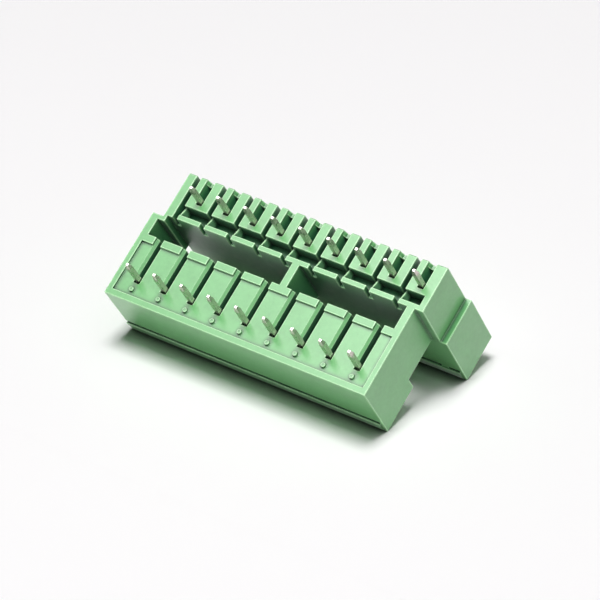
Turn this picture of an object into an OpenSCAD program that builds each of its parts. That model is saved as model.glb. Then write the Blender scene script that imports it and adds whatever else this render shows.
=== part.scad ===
// Two-level board header: a low row and a tall row of plug shrouds in one moulding,
// with straight square pins that pass through to the circuit board.
// Z is 0 on the board, shrouds open upwards, and the origin is the middle of the pin field.

/* [Pin field] */
// Number of pins in each row
pins_per_row = 9; // [3:1:14]
// Distance from pin to pin along a row
pitch = 5.08; // [4.6:0.01:6.4]
// Distance between the low row and the tall row
row_gap = 15.24; // [14.6:0.01:18]
// How far the tall row is offset along the rows
row_shift = 2.54; // [1.2:0.01:3]
// Side of the square pin
pin_size = 0.8; // [0.7:0.01:1]
// Pin length below the board face
tail_length = 4.4; // [3:0.1:6]
// How far the pin's upper end stays below the mouth
blade_recess = 1.6; // [1:0.1:3]
// Length of the taper at each pin end
tip_length = 1; // [0.5:0.05:1.4]
// Side of the blunt pin end
tip_size = 0.45; // [0.3:0.05:0.6]
// Gap on each side of a pin in its hole
pin_fit = 0.02; // [0.01:0.01:0.05]

/* [Shrouds] */
// Depth of each shroud across the row
shroud_depth = 8; // [7.4:0.05:9]
// Height of the low mouth above the board
shroud_height = 12; // [11.2:0.05:13.5]
// Height of the tall mouth above the low mouth
level_step = 9.4; // [8.4:0.05:12]
// Depth of the plug cavity below its mouth
cavity_depth = 8.6; // [7:0.05:9.2]
// Long wall of a shroud
long_wall = 0.8; // [0.7:0.05:1]
// End wall of a shroud
end_wall = 1.1; // [0.8:0.05:1.5]
// Last pin to the shroud's +X end
margin_pos = 3.9; // [3.4:0.05:4.4]
// Last pin to the shroud's -X end
margin_neg = 3.5; // [3.3:0.05:4]
// Bevel around the mouth's inner edge
mouth_bevel = 0.35; // [0.2:0.05:0.5]

/* [Plug guides] */
// Width of the coding groove at each pin
coding_width = 1.3; // [0.8:0.05:1.8]
// Depth of the coding groove
coding_depth = 0.3; // [0.15:0.05:0.4]
// Mouth to the upper side of the latch groove
latch_below_mouth = 2.2; // [1.8:0.05:2.8]
// Width of the latch groove
latch_width = 0.45; // [0.3:0.05:0.7]
// Depth of the latch groove
latch_depth = 0.45; // [0.2:0.05:0.5]
// How far the latch lip stands proud of the wall
lip_rise = 0.22; // [0.1:0.02:0.4]
// Latch groove's distance from the shroud's -X end
latch_stop = 0.6; // [0.4:0.05:1]

/* [Low block, board side] */
// How far the board face is sunk below its seat
standoff = 0.4; // [0.2:0.05:0.6]
// Seat rim along the front edge
rim_front = 1.1; // [0.8:0.05:1.3]
// Seat rim along each end
rim_end = 0.95; // [0.6:0.05:1.2]
// Reach of the shelf behind the shroud
shelf_reach = 3.3; // [2.8:0.05:3.8]
// Seat strip along the shelf's back edge
cap_strip = 1.3; // [0.9:0.05:1.8]
// Gap on each side of a pin in its slot
slot_play = 0.12; // [0.06:0.01:0.2]
// Depth of the slot behind a pin
slot_depth = 2.2; // [1.4:0.05:2.6]
// Slot's reach in front of the pin
slot_lead = 0.25; // [0.1:0.05:0.5]
// Width of the bevel along a slot's +X edge
slot_bevel = 0.42; // [0.2:0.02:0.6]
// Fall of that bevel below the sunk face
bevel_depth = 0.4; // [0.2:0.02:0.6]
// Diameter of the seat pip in front of a pin
pip_d = 0.8; // [0.5:0.05:1.1]
// Pip's distance in front of the pin row
pip_setback = 1.9; // [1.6:0.05:2.3]

/* [Between the rows] */
// End web that joins the two blocks
web_wall = 1.35; // [1:0.05:1.8]
// Rib that joins them at the middle
rib_wall = 1.3; // [0.9:0.05:2]
// Cross wall at the +X end, in front of the tall block
foot_lead = 1.05; // [0.9:0.05:1.4]
// Thickness of that cross wall
foot_wall = 0.75; // [0.6:0.05:0.85]
// Reach of that cross wall from the low block's +X end
foot_reach = 2.6; // [2.4:0.05:3]

/* [Tall block, board side] */
// Height of the skirt that carries the tall shroud
skirt_height = 9.6; // [8.8:0.05:10.6]
// Skirt's overhang past the shroud at the +X end
skirt_over = 0.54; // [0.3:0.02:1]
// Ledge of the shroud past the skirt at the -X end
ledge = 1.08; // [0.6:0.02:1.4]
// Lean of the skirt's back face
back_draft = 0.1; // [0:0.05:0.4]
// Thickness of the skirt's front wall
front_wall = 0.85; // [0.7:0.05:1.1]
// Thickness of the skirt's -X end wall
skirt_end = 1.05; // [0.8:0.05:1.4]
// Post's reach in front of its pin
post_lead = 1.5; // [1.2:0.05:1.7]
// Gap between neighbouring posts
post_gap = 0.86; // [0.6:0.02:1.1]
// Depth of the gaps between posts
gap_depth = 7; // [5:0.1:8]
// Depth of the trough in front of the posts
trough_depth = 2.5; // [2:0.05:3]
// Thickness of the thin fin beside each gap, in front of the posts
fin_wall = 0.25; // [0.2:0.01:0.4]
// Depth of a fin's top where it leaves the front wall
fin_drop = 0.15; // [0.05:0.05:0.5]
// Further fall of the fin's top on its way to the posts
fin_fall = 0.55; // [0.2:0.05:1]
// Fall of the steep bevel along a post slot's +X edge
post_slot_fall = 1.8; // [0.8:0.1:3]
// Thickness of the bridge behind each post slot
bridge_wall = 0.8; // [0.6:0.05:1.2]
// Depth of the bridge's top below the seat
bridge_drop = 1.1; // [0.8:0.05:1.6]
// Bevel on the posts' upper back edge
post_bevel = 0.2; // [0.1:0.05:0.5]

/* [Hidden] */
$fn = 48;
// cuts run this far past the face that they open
over = 0.5;

front_y = -row_gap / 2;
rear_y = row_gap / 2;
rear_height = shroud_height + level_step;
floor_wall = shroud_height - cavity_depth;
slot_width = pin_size + 2 * slot_play;
post_width = pitch - post_gap;

function row_x(i) = (i - (pins_per_row + 1) / 2) * pitch;
function front_x(i) = row_x(i) + row_shift / 2;
function rear_x(i) = row_x(i) - row_shift / 2;
function gap_x(i) = rear_x(i) + pitch / 2;

front_neg = front_x(1) - margin_neg;
front_pos = front_x(pins_per_row) + margin_pos;
rear_neg = rear_x(1) - margin_neg;
rear_pos = rear_x(pins_per_row) + margin_pos;
skirt_neg = rear_neg + ledge;
skirt_pos = rear_pos + skirt_over;
rib_x = rear_x(ceil(pins_per_row / 2));

front_face = front_y - shroud_depth / 2;
front_back = front_y + shroud_depth / 2;
shelf_back = front_back + shelf_reach;
rear_face = rear_y - shroud_depth / 2;
rear_back = rear_y + shroud_depth / 2;
trough_front = rear_face + front_wall;
post_front = rear_y - post_lead;
foot_front = rear_face - foot_lead;

function pin_name(row, i) = str(row, "_pin_", i);

// A box between two corners
module span(low, high) {
    translate(low)
        cube(high - low);
}

// A prism along X from an outline of [y, z] points
module along_x(x_low, x_high, outline) {
    translate([x_low, 0, 0])
        rotate([90, 0, 90])
            linear_extrude(x_high - x_low)
                polygon(outline);
}

// A prism along Y from an outline of [x, z] points
module along_y(y_low, y_high, outline) {
    translate([0, y_high, 0])
        rotate([90, 0, 0])
            linear_extrude(y_high - y_low)
                polygon(outline);
}

// Plug cavity with its bevelled mouth and a coding groove at each pin
module plug_cavity(x_low, x_high, y_mid, mouth, pin_x) {
    y_low = y_mid - shroud_depth / 2 + long_wall;
    y_high = y_mid + shroud_depth / 2 - long_wall;
    floor_z = mouth - cavity_depth;
    reach = mouth_bevel + over;
    rise = mouth + over;
    span([x_low + end_wall, y_low, floor_z], [x_high - end_wall, y_high, rise]);
    along_x(x_low + end_wall, x_high - end_wall, [
        [y_low, mouth - mouth_bevel],
        [y_high, mouth - mouth_bevel],
        [y_high + reach, rise],
        [y_low - reach, rise]
    ]);
    along_y(y_low, y_high, [
        [x_low + end_wall, mouth - mouth_bevel],
        [x_high - end_wall, mouth - mouth_bevel],
        [x_high - end_wall + reach, rise],
        [x_low + end_wall - reach, rise]
    ]);
    half = coding_width / 2;
    for (x = pin_x)
        span([x - half, y_high - over, floor_z], [x + half, y_high + coding_depth, rise]);
}

// Sloping lip below the mouth on a shroud's front wall
module latch_lip(x_low, x_high, face, mouth) {
    lip_z = mouth - latch_below_mouth;
    along_x(x_low + latch_stop, x_high, [
        [face, lip_z],
        [face - lip_rise, lip_z],
        [face, mouth],
        [face + long_wall / 2, mouth],
        [face + long_wall / 2, lip_z]
    ]);
}

// Groove on the board side of the lip
module latch_groove(x_low, x_high, face, mouth) {
    lip_z = mouth - latch_below_mouth;
    span([x_low, face - over, lip_z - latch_width], [x_high, face + latch_depth, lip_z]);
}

// Square hole for one pin through the whole moulding
module pin_hole(x, y) {
    half = pin_size / 2 + pin_fit;
    span([x - half, y - half, -over], [x + half, y + half, rear_height]);
}

// Slot from a pin to the back, with a sunk bevel along its +X edge
module pin_slot(x, y, y_end, depth, fall) {
    edge = x + slot_width / 2;
    y_start = y - pin_size / 2 - slot_lead;
    span([x - slot_width / 2, y_start, -over], [edge, y_end, depth]);
    along_y(y + pin_size / 2, y_end, [
        [edge - over, -over],
        [edge + slot_bevel, -over],
        [edge + slot_bevel, standoff],
        [edge, standoff + fall],
        [edge - over, standoff + fall]
    ]);
}

module low_block() {
    span([front_neg, front_face, 0], [front_pos, front_back, shroud_height]);
    span([front_neg, front_back, 0], [front_pos, shelf_back, floor_wall]);
    latch_lip(front_neg, front_pos, front_face, shroud_height);
}

module low_block_cuts() {
    pin_x = [for (i = [1:pins_per_row]) front_x(i)];
    plug_cavity(front_neg, front_pos, front_y, shroud_height, pin_x);
    latch_groove(front_neg + latch_stop, front_pos + over, front_face, shroud_height);
    for (x = pin_x)
        pin_slot(x, front_y, shelf_back + over, slot_depth, bevel_depth);
    difference() {
        span(
            [front_neg + rim_end, front_face + rim_front, -over],
            [front_pos - rim_end, shelf_back - cap_strip, standoff]
        );
        for (x = pin_x)
            translate([x, front_y - pip_setback, 0])
                cylinder(h = standoff + over, d = pip_d);
    }
}

// Wall between the blocks, as high as the skirt
module link_wall(x_low, x_high, y_low, y_high) {
    span([x_low, y_low, 0], [x_high, y_high, skirt_height]);
}

// End webs, middle rib and the cross wall with its block at the +X end
module row_links() {
    y_low = front_back - over;
    y_high = rear_face + over;
    foot_x = front_pos - foot_reach;
    foot_back = foot_front + foot_wall;
    link_wall(front_neg, front_neg + web_wall, y_low, y_high);
    link_wall(rib_x - rib_wall / 2, rib_x + rib_wall / 2, y_low, y_high);
    link_wall(front_pos - web_wall, front_pos, y_low, foot_back);
    link_wall(foot_x, front_pos, foot_front, foot_back);
    link_wall(foot_x, skirt_pos, foot_front, y_high);
}

module tall_block() {
    along_x(skirt_neg, skirt_pos, [
        [rear_face, 0],
        [rear_back - back_draft - post_bevel, 0],
        [rear_back - back_draft, post_bevel],
        [rear_back, skirt_height],
        [rear_face, skirt_height]
    ]);
    span([rear_neg, rear_face, skirt_height], [rear_pos, rear_back, rear_height]);
    latch_lip(rear_neg, rear_pos, rear_face, rear_height);
}

// Trough in front of one post, closed by a thin fin at its +X end
module post_trough(i) {
    x_low = i == 1 ? skirt_neg + skirt_end : rear_x(i) - post_width / 2 - over;
    x_high = rear_x(i) + post_width / 2;
    span([x_low, trough_front, -over], [x_high - fin_wall, post_front, trough_depth]);
    along_x(x_high - fin_wall - over, x_high + over, [
        [trough_front, -over],
        [post_front, -over],
        [post_front, fin_drop + fin_fall],
        [trough_front, fin_drop]
    ]);
}

// Gap beside one post, open at the back, with a notch in the front wall
module post_gap_cut(i) {
    x_low = gap_x(i) - post_gap / 2;
    x_high = gap_x(i) + post_gap / 2;
    span([x_low, trough_front, -over], [x_high, rear_back + over, gap_depth]);
    span([x_low, rear_face - over, -over], [x_high, trough_front + over, trough_depth]);
}

// The latch groove of the tall shroud is bridged in line with the webs and the rib
module tall_latch_cuts() {
    stops = [
        rear_neg + latch_stop,
        front_neg, front_neg + web_wall,
        rib_x - rib_wall / 2, rib_x + rib_wall / 2,
        rear_pos + over
    ];
    for (k = [0:2])
        latch_groove(stops[2 * k], stops[2 * k + 1], rear_face, rear_height);
}

module tall_block_cuts() {
    bridge_front = rear_back - back_draft - bridge_wall;
    pin_x = [for (i = [1:pins_per_row]) rear_x(i)];
    plug_cavity(rear_neg, rear_pos, rear_y, rear_height, pin_x);
    tall_latch_cuts();
    for (i = [1:pins_per_row]) {
        post_trough(i);
        post_gap_cut(i);
    }
    for (x = pin_x) {
        pin_slot(x, rear_y, bridge_front, gap_depth, post_slot_fall);
        pin_slot(x, rear_y, rear_back + over, bridge_drop, bridge_drop - standoff);
    }
}

module housing() {
    color([0.43, 0.70, 0.45])
        difference() {
            union() {
                low_block();
                row_links();
                tall_block();
            }
            low_block_cuts();
            tall_block_cuts();
            for (i = [1:pins_per_row]) {
                pin_hole(front_x(i), front_y);
                pin_hole(rear_x(i), rear_y);
            }
        }
}

// Square pin with a short taper at both ends
module contact_pin(x, y, top) {
    outline = [
        [-tip_size / 2, -tail_length],
        [tip_size / 2, -tail_length],
        [pin_size / 2, tip_length - tail_length],
        [pin_size / 2, top - tip_length],
        [tip_size / 2, top],
        [-tip_size / 2, top],
        [-pin_size / 2, top - tip_length],
        [-pin_size / 2, tip_length - tail_length]
    ];
    color([0.80, 0.80, 0.77])
        translate([x, y, 0])
            intersection() {
                along_x(-pin_size / 2, pin_size / 2, outline);
                along_y(-pin_size / 2, pin_size / 2, outline);
            }
}

module front_pin(i) {
    contact_pin(front_x(i), front_y, shroud_height - blade_recess);
}

module rear_pin(i) {
    contact_pin(rear_x(i), rear_y, rear_height - blade_recess);
}

housing();
for (i = [1:pins_per_row]) {
    front_pin(i);
    rear_pin(i);
}
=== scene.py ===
import math

import bpy
from mathutils import Matrix, Vector


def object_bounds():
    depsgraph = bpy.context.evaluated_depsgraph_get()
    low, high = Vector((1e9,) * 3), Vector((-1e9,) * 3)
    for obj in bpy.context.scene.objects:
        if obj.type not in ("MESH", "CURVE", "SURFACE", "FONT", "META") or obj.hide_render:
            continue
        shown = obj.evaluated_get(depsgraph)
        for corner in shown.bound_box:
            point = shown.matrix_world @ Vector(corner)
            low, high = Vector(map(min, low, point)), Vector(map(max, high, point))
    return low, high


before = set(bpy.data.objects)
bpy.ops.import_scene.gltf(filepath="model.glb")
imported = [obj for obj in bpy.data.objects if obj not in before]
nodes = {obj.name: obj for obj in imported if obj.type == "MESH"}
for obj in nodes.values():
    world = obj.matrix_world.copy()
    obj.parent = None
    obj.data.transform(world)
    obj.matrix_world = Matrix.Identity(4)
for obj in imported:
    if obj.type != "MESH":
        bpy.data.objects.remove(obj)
cadLow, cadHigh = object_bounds()
mm = 0.001
print("frame:", len(nodes), "nodes")

# The header lies on its two mouth edges, board side up, so the stage has its own directions
lowMouthEdge = Vector((0, -11.62, 12.0)) * mm
tallMouthEdge = Vector((0, 3.62, 21.4)) * mm
stageRight = Vector((-1, 0, 0))
stageAway = (tallMouthEdge - lowMouthEdge).normalized()
stageUp = stageRight.cross(stageAway)


# Small helpers for node trees

def newMaterial(name):
    material = bpy.data.materials.new(name)
    material.use_nodes = True
    material.node_tree.nodes.clear()
    return material, material.node_tree


def addNode(tree, kind, x, y, **settings):
    node = tree.nodes.new(kind)
    node.location = (x, y)
    for key, value in settings.items():
        setattr(node, key, value)
    return node


def setInputs(node, **values):
    for key, value in values.items():
        node.inputs[key].default_value = value


def mathNode(tree, operation, x, y, first, second):
    node = addNode(tree, "ShaderNodeMath", x, y, operation=operation)
    for socket, source in zip(node.inputs, (first, second)):
        if isinstance(source, (int, float)):
            socket.default_value = source
        else:
            tree.links.new(source, socket)
    return node.outputs[0]


def newGroup(name, inputs, outputs):
    tree = bpy.data.node_groups.new(name, "ShaderNodeTree")
    for label, value in inputs.items():
        socket = tree.interface.new_socket(label, in_out="INPUT", socket_type="NodeSocketFloat")
        socket.default_value = value
    for label in outputs:
        tree.interface.new_socket(label, in_out="OUTPUT", socket_type="NodeSocketFloat")
    start = addNode(tree, "NodeGroupInput", -700, 0)
    end = addNode(tree, "NodeGroupOutput", 700, 0)
    return tree, start.outputs, end.inputs


def placeGroup(tree, group, x, y, **values):
    node = addNode(tree, "ShaderNodeGroup", x, y, node_tree=group)
    setInputs(node, **values)
    return node.outputs


# Effects that both finishes use

def makeGrainGroup():
    # fine skin texture; Stretch above 1 draws it out along the pins
    tree, given, result = newGroup(
        "skinGrain",
        {"Scale": 6000.0, "Stretch": 1.0, "Detail": 2.0},
        ("Height", "Mask"),
    )
    coords = addNode(tree, "ShaderNodeTexCoord", -700, 300)
    shrink = mathNode(tree, "DIVIDE", -500, 120, 1.0, given["Stretch"])
    join = addNode(tree, "ShaderNodeCombineXYZ", -320, 120)
    setInputs(join, X=1.0, Y=1.0)
    tree.links.new(shrink, join.inputs["Z"])
    stretch = addNode(tree, "ShaderNodeVectorMath", -140, 260, operation="MULTIPLY")
    tree.links.new(coords.outputs["Object"], stretch.inputs[0])
    tree.links.new(join.outputs[0], stretch.inputs[1])
    noise = addNode(tree, "ShaderNodeTexNoise", 60, 200)
    tree.links.new(stretch.outputs[0], noise.inputs["Vector"])
    tree.links.new(given["Scale"], noise.inputs["Scale"])
    tree.links.new(given["Detail"], noise.inputs["Detail"])
    ramp = addNode(tree, "ShaderNodeMapRange", 280, 100)
    setInputs(ramp, **{"From Min": 0.35, "From Max": 0.65})
    tree.links.new(noise.outputs["Fac"], ramp.inputs["Value"])
    tree.links.new(noise.outputs["Fac"], result["Height"])
    tree.links.new(ramp.outputs["Result"], result["Mask"])
    return tree


def makeCloudGroup():
    # broad uneven patches, as flow marks leave in a moulding and handling on tin
    tree, given, result = newGroup("softCloud", {"Scale": 300.0, "Low": 0.0, "High": 1.0}, ("Value",))
    coords = addNode(tree, "ShaderNodeTexCoord", -700, 300)
    noise = addNode(tree, "ShaderNodeTexNoise", -200, 200)
    setInputs(noise, Detail=3.0, Roughness=0.55)
    tree.links.new(coords.outputs["Object"], noise.inputs["Vector"])
    tree.links.new(given["Scale"], noise.inputs["Scale"])
    ramp = addNode(tree, "ShaderNodeMapRange", 200, 100)
    setInputs(ramp, **{"From Min": 0.3, "From Max": 0.7})
    tree.links.new(noise.outputs["Fac"], ramp.inputs["Value"])
    tree.links.new(given["Low"], ramp.inputs["To Min"])
    tree.links.new(given["High"], ramp.inputs["To Max"])
    tree.links.new(ramp.outputs["Result"], result["Value"])
    return tree


def makeEdgeGroup():
    # rays inside the solid find outer edges and thin fins, rays outside find inner corners and slots
    tree, given, result = newGroup(
        "edgeFinder",
        {"Edge Reach": 0.00024, "Thin Reach": 0.0005, "Crease Reach": 0.0007, "Slot Reach": 0.013},
        ("Edge", "Thin", "Crease", "Slot"),
    )
    kinds = (
        ("Edge", True, 300),
        ("Thin", True, 100),
        ("Crease", False, -100),
        ("Slot", False, -300),
    )
    for label, inside, y in kinds:
        near = addNode(
            tree, "ShaderNodeAmbientOcclusion", -300, y,
            samples=6, inside=inside, only_local=True,
        )
        tree.links.new(given[label + " Reach"], near.inputs["Distance"])
        mask = mathNode(tree, "SUBTRACT", 0, y, 1.0, near.outputs["AO"])
        tree.links.new(mask, result[label])
    return tree


skinGrain = makeGrainGroup()
softCloud = makeCloudGroup()
edgeFinder = makeEdgeGroup()
print("effects:", skinGrain.name, softCloud.name, edgeFinder.name)


# Green moulded housing

housingLook = {
    "deep": (0.084, 0.312, 0.090, 1),    # the two greens of the mottled skin
    "pale": (0.114, 0.388, 0.121, 1),
    "shaded": (0.017, 0.118, 0.050, 1),  # painted shade, darker deep in slots
    "paintedCreaseShade": (0.004, 0.036, 0.013, 1),    # painted shade line in inner corners
    "edgeWearAndHighlight": (0.50, 0.80, 0.46, 1),     # lighter outer edges: a little wear, mostly a painted highlight
    "lit": (0.24, 0.60, 0.28, 1),        # painted light: thin fins lighter, as if light came through them
    "slotRange": (0.30, 0.72),
    "creaseRange": (0.08, 0.40),
    "thinRange": (0.60, 0.76),
    "edgeRange": (0.08, 0.37),
    "haze": 0.14,                        # faint bloom at grazing angles
    "hazeRough": 0.4,
    "plasticIor": 1.5,
    "slotGloss": 0.25,                   # gloss that is left deep in a slot
    "skinGloss": 1.0,                    # moulded skin on open faces
    "skinRough": 0.34,
    "cloudScale": 260.0,
    "cloudShare": 0.5,                   # with speckShare, how the two greens mix
    "speckScale": 1500.0,
    "speckShare": 0.5,
    "roughScale": 780.0,
    "grainScale": 4600.0,
    "grainBump": 0.000024,
    "grainStrength": 0.6,
    "roughLow": 0.30,
    "roughHigh": 0.38,
    "edgeRadius": 0.09 * mm,
    "edgeAngle": 50,                     # leaves the blunt bevels as moulded
}


def makeHousingMaterial(look):
    material, tree = newMaterial("greenMoulding")
    out = addNode(tree, "ShaderNodeOutputMaterial", 700, 0)
    plastic = addNode(tree, "ShaderNodeBsdfPrincipled", 400, 0)
    setInputs(plastic, IOR=look["plasticIor"], **{
        "Specular IOR Level": look["slotGloss"],
        "Sheen Weight": look["haze"],
        "Sheen Roughness": look["hazeRough"],
        "Coat Roughness": look["skinRough"],
        "Coat IOR": look["plasticIor"],
    })
    tree.links.new(plastic.outputs[0], out.inputs["Surface"])

    cloud = placeGroup(tree, softCloud, -900, 300, Scale=look["cloudScale"], High=look["cloudShare"])
    base = addNode(tree, "ShaderNodeMix", -300, 300, data_type="RGBA")
    base.inputs["A"].default_value = look["deep"]
    base.inputs["B"].default_value = look["pale"]
    speck = placeGroup(tree, softCloud, -900, 480, Scale=look["speckScale"], High=look["speckShare"])
    mottle = mathNode(tree, "ADD", -450, 420, cloud["Value"], speck["Value"])
    tree.links.new(mottle, base.inputs["Factor"])

    found = placeGroup(tree, edgeFinder, -1100, 80)
    colour = base.outputs["Result"]
    masks = {}
    # painted light in the colour: shade in slots and inner corners, light in thin fins, a highlight with a
    # little wear on outer edges
    steps = (
        ("Slot", "shaded", -420),
        ("Thin", "lit", -220),
        ("Edge", "edgeWearAndHighlight", -20),
        ("Crease", "paintedCreaseShade", 180),
    )
    for label, tint, x in steps:
        ramp = addNode(tree, "ShaderNodeMapRange", x - 160, 60)
        low, high = look[label.lower() + "Range"]
        setInputs(ramp, **{"From Min": low, "From Max": high})
        tree.links.new(found[label], ramp.inputs["Value"])
        masks[label] = ramp.outputs["Result"]
        blend = addNode(tree, "ShaderNodeMix", x, 260, data_type="RGBA", clamp_factor=True)
        blend.inputs["B"].default_value = look[tint]
        tree.links.new(ramp.outputs["Result"], blend.inputs["Factor"])
        tree.links.new(colour, blend.inputs["A"])
        colour = blend.outputs["Result"]
    tree.links.new(colour, plastic.inputs["Base Color"])

    # the coat fades with the slot mask: painted shade on the reflection deep in slots
    skin = addNode(tree, "ShaderNodeMapRange", 160, -60)
    setInputs(skin, **{"To Min": look["skinGloss"], "To Max": 0.0})
    tree.links.new(masks["Slot"], skin.inputs["Value"])
    tree.links.new(skin.outputs["Result"], plastic.inputs["Coat Weight"])

    uneven = placeGroup(
        tree, softCloud, -600, -120,
        Scale=look["roughScale"], Low=look["roughLow"], High=look["roughHigh"],
    )
    tree.links.new(uneven["Value"], plastic.inputs["Roughness"])

    grain = placeGroup(tree, skinGrain, -600, -340, Scale=look["grainScale"])
    bump = addNode(tree, "ShaderNodeBump", 100, -300)
    setInputs(bump, Strength=look["grainStrength"], Distance=look["grainBump"])
    tree.links.new(grain["Height"], bump.inputs["Height"])
    tree.links.new(bump.outputs[0], plastic.inputs["Normal"])
    return material


roundingLook = {
    "joinWithin": 0.001 * mm,
    "flatWithin": 0.5,         # degrees
    "segments": 2,
    "faceWeight": 100,
}


def roundEdges(obj, look):
    # facets of one flat face are merged first, so that only real edges are rounded
    weld = obj.modifiers.new("joinFaces", "WELD")
    weld.merge_threshold = roundingLook["joinWithin"]
    merge = obj.modifiers.new("flatFaces", "DECIMATE")
    merge.decimate_type = "DISSOLVE"
    merge.angle_limit = math.radians(roundingLook["flatWithin"])
    bevel = obj.modifiers.new("roundedEdges", "BEVEL")
    bevel.width = look["edgeRadius"]
    bevel.segments = roundingLook["segments"]
    bevel.limit_method = "ANGLE"
    bevel.angle_limit = math.radians(look["edgeAngle"])
    bevel.use_clamp_overlap = False
    bevel.loop_slide = False
    bevel.harden_normals = True
    even = obj.modifiers.new("evenNormals", "WEIGHTED_NORMAL")
    even.weight = roundingLook["faceWeight"]
    even.keep_sharp = True


def dress(obj, material):
    obj.data.materials.clear()
    obj.data.materials.append(material)


greenMoulding = makeHousingMaterial(housingLook)
dress(nodes["housing"], greenMoulding)
roundEdges(nodes["housing"], housingLook)
print("housing dressed")


# Tin-plated square pins

pinLook = {
    "bright": (0.68, 0.635, 0.59, 1),
    "dull": (0.36, 0.33, 0.29, 1),
    "worn": (0.86, 0.83, 0.79, 1),    # polished edges
    "wornRange": (0.15, 0.50),
    "wornReach": 0.12 * mm,
    "drawnScale": 9000.0,
    "drawnStretch": 25.0,             # drawing lines run along the pin
    "drawnDetail": 3.0,
    "drawnBump": 0.000006,
    "drawnStrength": 0.5,
    "patchScale": 900.0,
    "patchShare": 0.8,
    "roughScale": 1400.0,
    "roughLow": 0.22,
    "roughHigh": 0.40,
    "edgeRadius": 0.07 * mm,
    "edgeAngle": 25,
}


def makePinMaterial(look):
    material, tree = newMaterial("tinPlate")
    out = addNode(tree, "ShaderNodeOutputMaterial", 700, 0)
    metal = addNode(tree, "ShaderNodeBsdfPrincipled", 400, 0)
    setInputs(metal, Metallic=1.0)
    tree.links.new(metal.outputs[0], out.inputs["Surface"])

    drawn = placeGroup(
        tree, skinGrain, -600, -260,
        Scale=look["drawnScale"], Stretch=look["drawnStretch"], Detail=look["drawnDetail"],
    )
    base = addNode(tree, "ShaderNodeMix", -200, 240, data_type="RGBA")
    base.inputs["A"].default_value = look["bright"]
    base.inputs["B"].default_value = look["dull"]
    cloud = placeGroup(tree, softCloud, -600, 240, Scale=look["patchScale"], High=look["patchShare"])
    patch = mathNode(tree, "MULTIPLY", -400, 120, cloud["Value"], drawn["Mask"])
    tree.links.new(patch, base.inputs["Factor"])
    found = placeGroup(tree, edgeFinder, -600, 480, **{"Edge Reach": look["wornReach"]})
    ramp = addNode(tree, "ShaderNodeMapRange", -200, 460)
    low, high = look["wornRange"]
    setInputs(ramp, **{"From Min": low, "From Max": high})
    tree.links.new(found["Edge"], ramp.inputs["Value"])
    blend = addNode(tree, "ShaderNodeMix", 60, 300, data_type="RGBA", clamp_factor=True)
    blend.inputs["B"].default_value = look["worn"]
    tree.links.new(ramp.outputs["Result"], blend.inputs["Factor"])
    tree.links.new(base.outputs["Result"], blend.inputs["A"])
    tree.links.new(blend.outputs["Result"], metal.inputs["Base Color"])

    uneven = placeGroup(
        tree, softCloud, -600, 0,
        Scale=look["roughScale"], Low=look["roughLow"], High=look["roughHigh"],
    )
    tree.links.new(uneven["Value"], metal.inputs["Roughness"])

    bump = addNode(tree, "ShaderNodeBump", 100, -300)
    setInputs(bump, Strength=look["drawnStrength"], Distance=look["drawnBump"])
    tree.links.new(drawn["Height"], bump.inputs["Height"])
    tree.links.new(bump.outputs[0], metal.inputs["Normal"])
    return material


tinPlate = makePinMaterial(pinLook)
pinNames = sorted(name for name in nodes if "_pin_" in name)
for pinName in pinNames:
    dress(nodes[pinName], tinPlate)
    roundEdges(nodes[pinName], pinLook)
print("pins dressed:", len(pinNames))


# Stage: one sheet under the mouth edges for the board-side view, one under the pin tips for the others

stageLook = {
    "floor": (0.97, 0.955, 0.962, 1),
    "paintedContactShadow": (0, 0, 0, 1),     # painted contact shadow, right under the mouth edges
    "contactReach": 3.0 * mm,
    "contactRange": (0.20, 0.80),
    "benchHalf": 0.9,
    "standHalf": 0.36,
    "grazeHidden": 0.24,         # facing below which the tilted sheet is out of sight
    "grazeShown": 0.40,
}


def makeSheet(name, centre, sideways, along, halfSize):
    corners = [
        centre + sideways * (halfSize * i) + along * (halfSize * j)
        for i, j in ((-1, -1), (1, -1), (1, 1), (-1, 1))
    ]
    mesh = bpy.data.meshes.new(name)
    mesh.from_pydata(corners, [], [(0, 1, 2, 3)])
    obj = bpy.data.objects.new(name, mesh)
    bpy.context.scene.collection.objects.link(obj)
    return obj


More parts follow.
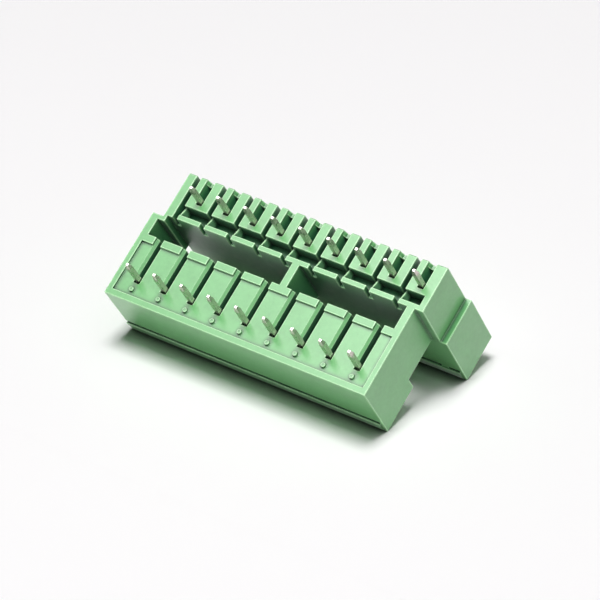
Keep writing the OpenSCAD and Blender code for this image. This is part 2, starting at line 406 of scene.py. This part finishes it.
def makeFloorMaterial(name, look, fadeAtGrazing):
    material, tree = newMaterial(name)
    out = addNode(tree, "ShaderNodeOutputMaterial", 600, 0)
    matte = addNode(tree, "ShaderNodeBsdfDiffuse", 0, 100)
    # the paper is painted darker close to the part: a painted contact shadow
    touch = addNode(tree, "ShaderNodeAmbientOcclusion", -600, 480, samples=8)
    setInputs(touch, Distance=look["contactReach"])
    shade = addNode(tree, "ShaderNodeMapRange", -400, 480)
    low, high = look["contactRange"]
    setInputs(shade, **{"From Min": low, "From Max": high})
    tree.links.new(touch.outputs["AO"], shade.inputs["Value"])
    paper = addNode(tree, "ShaderNodeMix", -200, 400, data_type="RGBA")
    paper.inputs["A"].default_value = look["paintedContactShadow"]
    paper.inputs["B"].default_value = look["floor"]
    tree.links.new(shade.outputs["Result"], paper.inputs["Factor"])
    tree.links.new(paper.outputs["Result"], matte.inputs["Color"])
    clear = addNode(tree, "ShaderNodeBsdfTransparent", 0, -100)
    mix = addNode(tree, "ShaderNodeMixShader", 300, 0)
    geometry = addNode(tree, "ShaderNodeNewGeometry", -600, 200)
    hide = geometry.outputs["Backfacing"]
    if fadeAtGrazing:
        path = addNode(tree, "ShaderNodeLightPath", -800, 300)
        facing = addNode(tree, "ShaderNodeLayerWeight", -800, -100)
        setInputs(facing, Blend=0.5)  # at one half, Facing is one minus the cosine
        turned = mathNode(tree, "SUBTRACT", -600, -100, 1.0, facing.outputs["Facing"])
        fade = addNode(tree, "ShaderNodeMapRange", -420, -100)
        setInputs(fade, **{"From Min": look["grazeHidden"], "From Max": look["grazeShown"]})
        setInputs(fade, **{"To Min": 1.0, "To Max": 0.0})
        tree.links.new(turned, fade.inputs["Value"])
        cameraRay = path.outputs["Is Camera Ray"]
        seen = mathNode(tree, "MULTIPLY", -240, -160, fade.outputs["Result"], cameraRay)
        hide = mathNode(tree, "MAXIMUM", -60, -260, hide, seen)
    tree.links.new(hide, mix.inputs["Fac"])
    tree.links.new(matte.outputs[0], mix.inputs[1])
    tree.links.new(clear.outputs[0], mix.inputs[2])
    tree.links.new(mix.outputs[0], out.inputs["Surface"])
    return material


benchSheet = makeSheet("benchSheet", lowMouthEdge, stageRight, stageAway, stageLook["benchHalf"])
benchSheet.data.materials.append(makeFloorMaterial("benchPaper", stageLook, True))
benchSheet.visible_shadow = False

pinTips = Vector((0, 0, cadLow.z))
standSheet = makeSheet("standSheet", pinTips, Vector((1, 0, 0)), Vector((0, 1, 0)), stageLook["standHalf"])
standSheet.data.materials.append(makeFloorMaterial("standPaper", stageLook, False))
for ray in ("shadow", "diffuse", "glossy", "transmission"):
    setattr(standSheet, "visible_" + ray, False)
print("stage sheets ready")


# Soft studio light

lightLook = {
    "room": (0.97, 0.98, 1, 1),
    "ambient": 0.03,
    "backdrop": (1, 1, 1, 1),
    "distance": 1.2,
    # from the bench: right, away, up
    "over": {"power": 12.1, "size": (0.36, 0.45), "from": (0.02, -0.15, 1)},
    "fill": {"power": 3.5, "size": (0.96, 1.16), "from": (0.325, -0.08, 1)},
    "sheen": {"power": 8.0, "size": (0.42, 0.5), "from": (-0.30, -0.17, 0.94)},  # only mirrored
    "side": {"power": 4.3, "size": (0.4, 0.4), "from": (0.72, -0.36, 0.59)},     # on the part only
    "front": {"power": 5.4, "size": (0.5, 0.5), "from": (-0.75, -0.65, 0.1)},    # on the part only
    # from the part: X, Y, Z
    "plug": {"power": 12.0, "size": (0.6, 0.6), "from": (0.3, 0.25, 0.9)},       # reaches the mouths
    "stand": {"power": 23.0, "size": (0.5, 0.5), "from": (-0.15, -0.2, 0.96)},   # on the lower sheet only
}


def makeSoftbox(name, direction, look):
    lamp = bpy.data.lights.new(name, "AREA")
    lamp.shape = "RECTANGLE"
    lamp.size, lamp.size_y = look["size"]
    lamp.energy = look["power"]
    obj = bpy.data.objects.new(name, lamp)
    bpy.context.scene.collection.objects.link(obj)
    obj.location = direction.normalized() * lightLook["distance"]
    obj.rotation_mode = "QUATERNION"
    obj.rotation_quaternion = (-obj.location).to_track_quat("-Z", "Y")
    obj.visible_camera = False
    return obj


def fromStage(right, away, up):
    return stageRight * right + stageAway * away + stageUp * up


def lightOnly(lamp, name, receivers):
    group = bpy.data.collections.new(name)
    for obj in receivers:
        group.objects.link(obj)
    lamp.light_linking.receiver_collection = group


stageLamps = {
    name: makeSoftbox(name + "Box", fromStage(*lightLook[name]["from"]), lightLook[name])
    for name in ("over", "fill", "sheen", "side", "front")
}
stageLamps["sheen"].visible_diffuse = False
for name in ("side", "front"):
    lightOnly(stageLamps[name], name + "OnPart", nodes.values())
standBox = makeSoftbox("standBox", Vector(lightLook["stand"]["from"]), lightLook["stand"])
lightOnly(standBox, "standOnly", [standSheet])
makeSoftbox("plugBox", Vector(lightLook["plug"]["from"]), lightLook["plug"])


def makeWorld(look):
    world = bpy.data.worlds.new("paleRoom")
    bpy.context.scene.world = world
    world.use_nodes = True
    tree = world.node_tree
    tree.nodes.clear()
    out = addNode(tree, "ShaderNodeOutputWorld", 600, 0)
    room = addNode(tree, "ShaderNodeBackground", 0, 100)
    setInputs(room, Color=look["room"], Strength=look["ambient"])
    backdrop = addNode(tree, "ShaderNodeBackground", 0, -100)
    setInputs(backdrop, Color=look["backdrop"], Strength=1.0)
    path = addNode(tree, "ShaderNodeLightPath", -600, 0)
    seen = path.outputs["Is Camera Ray"]
    for ray, x in (("Is Glossy Ray", -400), ("Is Transmission Ray", -200)):
        seen = mathNode(tree, "MAXIMUM", x, 100, seen, path.outputs[ray])
    mix = addNode(tree, "ShaderNodeMixShader", 300, 0)
    tree.links.new(seen, mix.inputs["Fac"])
    tree.links.new(room.outputs[0], mix.inputs[1])
    tree.links.new(backdrop.outputs[0], mix.inputs[2])
    tree.links.new(mix.outputs[0], out.inputs["Surface"])


makeWorld(lightLook)
print("light ready")


# Camera, long lens, looking down on the board side

cameraLook = {
    "location": (-0.22067, -0.12970, -0.36893),
    "right": (-0.8168, 0.4880, 0.3077),
    "up": (0.3151, 0.8241, -0.4706),
    "lens": 180.0,
    "sensor": 36.0,
    "clip": (0.01, 20.0),
}


def makeCamera(look):
    lens = bpy.data.cameras.new("benchCamera")
    lens.lens = look["lens"]
    lens.sensor_width = look["sensor"]
    lens.clip_start, lens.clip_end = look["clip"]
    right = Vector(look["right"]).normalized()
    up = Vector(look["up"])
    back = right.cross(up).normalized()
    up = back.cross(right)
    obj = bpy.data.objects.new("benchCamera", lens)
    bpy.context.scene.collection.objects.link(obj)
    turn = Matrix((right, up, back)).transposed().to_4x4()
    obj.matrix_world = Matrix.Translation(Vector(look["location"])) @ turn
    bpy.context.scene.camera = obj


makeCamera(cameraLook)
bpy.context.scene.view_settings.view_transform = "Standard"
print("camera ready")
